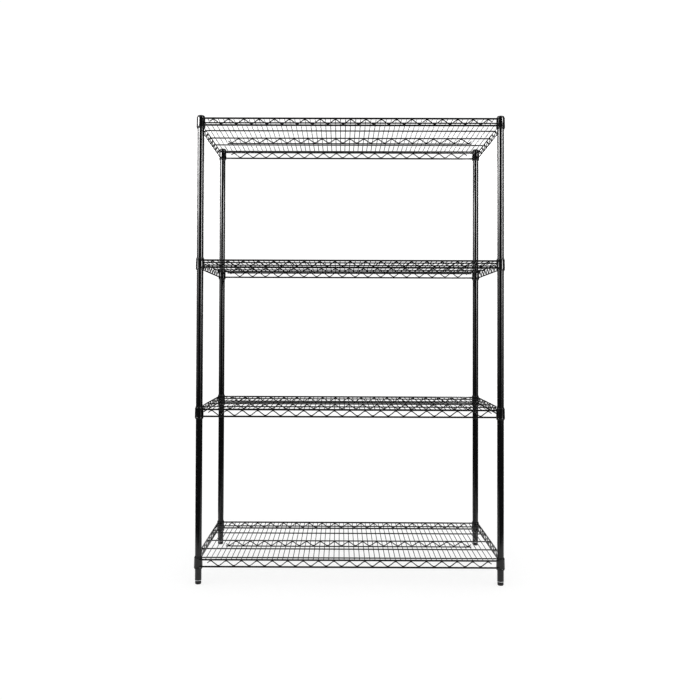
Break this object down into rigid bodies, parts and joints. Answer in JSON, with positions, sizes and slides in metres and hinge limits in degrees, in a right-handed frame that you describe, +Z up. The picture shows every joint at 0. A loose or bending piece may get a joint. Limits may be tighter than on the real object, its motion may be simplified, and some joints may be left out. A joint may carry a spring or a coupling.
{
  "type": "wire shelving rack",
  "caption": "Free-standing wire shelving rack: welded wire shelves clamped to grooved tubular posts by tapered split sleeves, on screw-adjustable feet.",
  "frame": {"origin": "on the floor, at the centre of the rack's footprint", "axes": "+Z up along the posts, X along the long side of the shelves, Y front to back with the front at -Y"},
  "size_m": [1.2156, 0.606, 1.838],
  "materials": {
    "epoxy_steel": "gloss black epoxy coat",
    "black_nylon": "moulded, satin",
    "zinc_plate": "zinc plated, satin"
  },
  "bodies": {
    "posts": {"post_front_left": "epoxy_steel", "post_cap_front_left": "black_nylon", "threaded_insert_front_left": "zinc_plate", "post_front_right": "epoxy_steel", "post_cap_front_right": "black_nylon", "threaded_insert_front_right": "zinc_plate", "post_rear_left": "epoxy_steel", "post_cap_rear_left": "black_nylon", "threaded_insert_rear_left": "zinc_plate", "post_rear_right": "epoxy_steel", "post_cap_rear_right": "black_nylon", "threaded_insert_rear_right": "zinc_plate", "bottom_sleeve_front_left_front_half": "black_nylon", "bottom_sleeve_front_left_rear_half": "black_nylon", "bottom_sleeve_front_right_front_half": "black_nylon", "bottom_sleeve_front_right_rear_half": "black_nylon", "bottom_sleeve_rear_left_front_half": "black_nylon", "bottom_sleeve_rear_left_rear_half": "black_nylon", "bottom_sleeve_rear_right_front_half": "black_nylon", "bottom_sleeve_rear_right_rear_half": "black_nylon", "lower_sleeve_front_left_front_half": "black_nylon", "lower_sleeve_front_left_rear_half": "black_nylon", "lower_sleeve_front_right_front_half": "black_nylon", "lower_sleeve_front_right_rear_half": "black_nylon", "lower_sleeve_rear_left_front_half": "black_nylon", "lower_sleeve_rear_left_rear_half": "black_nylon", "lower_sleeve_rear_right_front_half": "black_nylon", "lower_sleeve_rear_right_rear_half": "black_nylon", "upper_sleeve_front_left_front_half": "black_nylon", "upper_sleeve_front_left_rear_half": "black_nylon", "upper_sleeve_front_right_front_half": "black_nylon", "upper_sleeve_front_right_rear_half": "black_nylon", "upper_sleeve_rear_left_front_half": "black_nylon", "upper_sleeve_rear_left_rear_half": "black_nylon", "upper_sleeve_rear_right_front_half": "black_nylon", "upper_sleeve_rear_right_rear_half": "black_nylon", "top_sleeve_front_left_front_half": "black_nylon", "top_sleeve_front_left_rear_half": "black_nylon", "top_sleeve_front_right_front_half": "black_nylon", "top_sleeve_front_right_rear_half": "black_nylon", "top_sleeve_rear_left_front_half": "black_nylon", "top_sleeve_rear_left_rear_half": "black_nylon", "top_sleeve_rear_right_front_half": "black_nylon", "top_sleeve_rear_right_rear_half": "black_nylon"},
    "bottom_shelf": {"bottom_shelf_frame": "epoxy_steel", "bottom_shelf_deck": "epoxy_steel", "bottom_shelf_centre_truss": "epoxy_steel"},
    "lower_shelf": {"lower_shelf_frame": "epoxy_steel", "lower_shelf_deck": "epoxy_steel", "lower_shelf_centre_truss": "epoxy_steel"},
    "upper_shelf": {"upper_shelf_frame": "epoxy_steel", "upper_shelf_deck": "epoxy_steel", "upper_shelf_centre_truss": "epoxy_steel"},
    "top_shelf": {"top_shelf_frame": "epoxy_steel", "top_shelf_deck": "epoxy_steel", "top_shelf_centre_truss": "epoxy_steel"},
    "levelling_foot_front_left": {"levelling_foot_front_left": "black_nylon"},
    "levelling_foot_front_right": {"levelling_foot_front_right": "black_nylon"},
    "levelling_foot_rear_left": {"levelling_foot_rear_left": "black_nylon"},
    "levelling_foot_rear_right": {"levelling_foot_rear_right": "black_nylon"}
  },
  "joints": [
    {"name": "bottom_shelf_lift", "type": "slide", "parent": "posts", "child": "bottom_shelf", "axis": [0, 0, 1], "range_m": [0, 0.535]},
    {"name": "lower_shelf_lift", "type": "slide", "parent": "posts", "child": "lower_shelf", "axis": [0, 0, 1], "range_m": [0, 0.535]},
    {"name": "upper_shelf_lift", "type": "slide", "parent": "posts", "child": "upper_shelf", "axis": [0, 0, 1], "range_m": [0, 0.51]},
    {"name": "top_shelf_lift", "type": "slide", "parent": "posts", "child": "top_shelf", "axis": [0, 0, 1], "range_m": [0, 0.06]},
    {"name": "foot_screw_front_left", "type": "slide", "parent": "posts", "child": "levelling_foot_front_left", "axis": [0, 0, 1], "range_m": [-0.019, 0.002]},
    {"name": "foot_screw_front_right", "type": "slide", "parent": "posts", "child": "levelling_foot_front_right", "axis": [0, 0, 1], "range_m": [-0.019, 0.002]},
    {"name": "foot_screw_rear_left", "type": "slide", "parent": "posts", "child": "levelling_foot_rear_left", "axis": [0, 0, 1], "range_m": [-0.019, 0.002]},
    {"name": "foot_screw_rear_right", "type": "slide", "parent": "posts", "child": "levelling_foot_rear_right", "axis": [0, 0, 1], "range_m": [-0.019, 0.002]}
  ]
}
